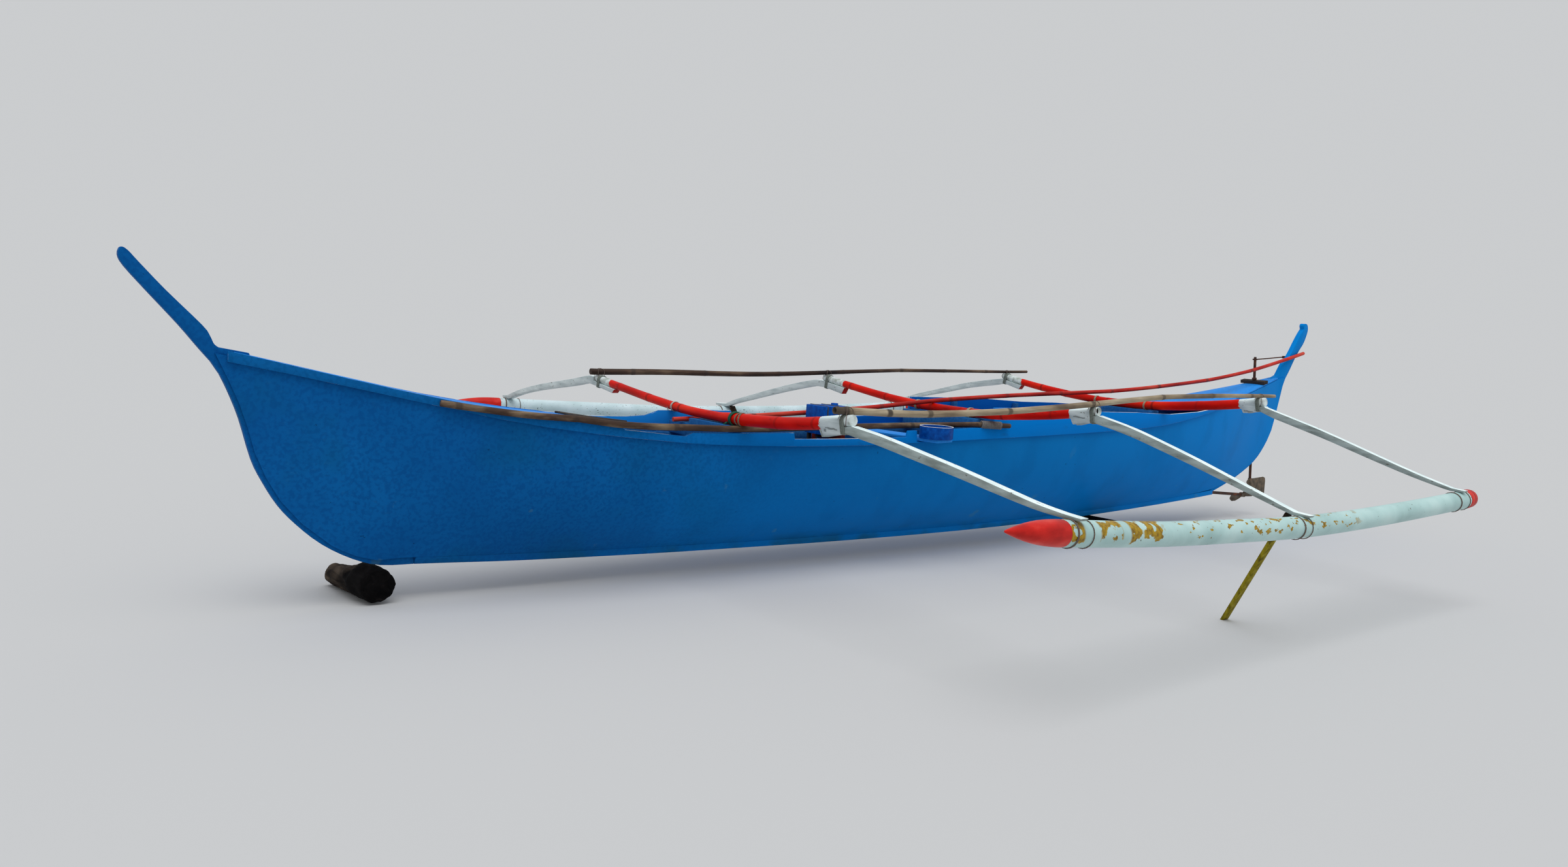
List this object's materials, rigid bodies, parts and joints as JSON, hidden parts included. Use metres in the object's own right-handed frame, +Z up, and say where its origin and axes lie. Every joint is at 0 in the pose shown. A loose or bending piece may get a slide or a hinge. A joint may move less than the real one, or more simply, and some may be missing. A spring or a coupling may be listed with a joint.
{
  "type": "outrigger canoe",
  "caption": "Slender wooden motor canoe with a pipe float on curved arms at each side, a raked stem and sternpost, a rudder and a propeller, stood on roller logs and prop sticks.",
  "frame": {"origin": "on the ground, midway between the tip of the stem and the back of the sternpost, on the centre line", "axes": "+X towards the bow, +Y to port, +Z up"},
  "size_m": [9.11, 5.2705, 1.6709],
  "materials": {
    "hull_paint": "worn satin dark blue paint",
    "strake_paint": "satin blue paint with worn white edges",
    "deck_paint": "satin light blue paint",
    "inside_paint": "faded blue paint",
    "beam_paint": "satin orange-red paint",
    "white_paint": "worn bluish white paint",
    "cone_paint": "satin red paint",
    "bamboo": "weathered",
    "dark_wood": "wet dark timber",
    "red_pole": "faded red",
    "prop_wood": "olive-brown, rough",
    "tub_plastic": "smooth blue plastic",
    "rusty_steel": "rusty, rough",
    "bronze": "dull brown",
    "engine_iron": "dull dark grey"
  },
  "bodies": {
    "canoe": {"keel_timber": "hull_paint", "side_port_fore": "hull_paint", "side_port_fore_mid": "hull_paint", "side_port_aft_mid": "hull_paint", "side_port_aft": "hull_paint", "side_starboard_fore": "hull_paint", "side_starboard_fore_mid": "hull_paint", "side_starboard_aft_mid": "hull_paint", "side_starboard_aft": "hull_paint", "stem": "hull_paint", "sternpost": "hull_paint", "upper_strake_port": "strake_paint", "upper_strake_starboard": "strake_paint", "foredeck": "deck_paint", "aft_deck": "deck_paint", "rib_frames": "inside_paint", "stringer_port": "inside_paint", "stringer_starboard": "inside_paint", "beam_bearer_fore": "inside_paint", "beam_bearer_mid": "inside_paint", "beam_bearer_aft": "inside_paint", "thwart_plank": "deck_paint", "tub": "tub_plastic", "engine_block": "engine_iron", "engine_bed": "inside_paint", "fuel_tank": "tub_plastic", "stern_tube": "rusty_steel", "rudder_block": "dark_wood", "rudder_stay": "rusty_steel", "cross_beam_fore": "beam_paint", "cross_beam_mid": "beam_paint", "cross_beam_aft": "beam_paint", "arm_fore_port": "white_paint", "arm_fore_starboard": "white_paint", "arm_mid_port": "white_paint", "arm_mid_starboard": "white_paint", "arm_aft_port": "white_paint", "arm_aft_starboard": "white_paint", "float_port": "white_paint", "nose_cone_port": "cone_paint", "rear_cap_port": "cone_paint", "float_starboard": "white_paint", "nose_cone_starboard": "cone_paint", "rear_cap_starboard": "cone_paint", "pole_port": "bamboo", "pole_starboard": "dark_wood", "pole_long_red": "red_pole", "pole_gunwale": "bamboo", "thin_stick": "dark_wood", "roller_log_fore": "dark_wood", "roller_log_aft": "dark_wood", "prop_stick_port": "prop_wood", "prop_stick_starboard": "prop_wood"},
    "rudder": {"rudder_stock": "rusty_steel", "rudder_blade": "rusty_steel"},
    "screw": {"propeller_shaft": "rusty_steel", "propeller": "bronze"}
  },
  "joints": [
    {"name": "rudder_turn", "type": "hinge", "parent": "canoe", "child": "rudder", "pos_m": [-3.8, 0, 1.361], "axis": [0.1044, 0, 0.9945], "range_deg": [-35, 35]},
    {"name": "propeller_spin", "type": "hinge", "parent": "canoe", "child": "screw", "pos_m": [-3.816, 0, 0.19708], "axis": [0.9965, 0, 0.0835], "continuous": true}
  ]
}
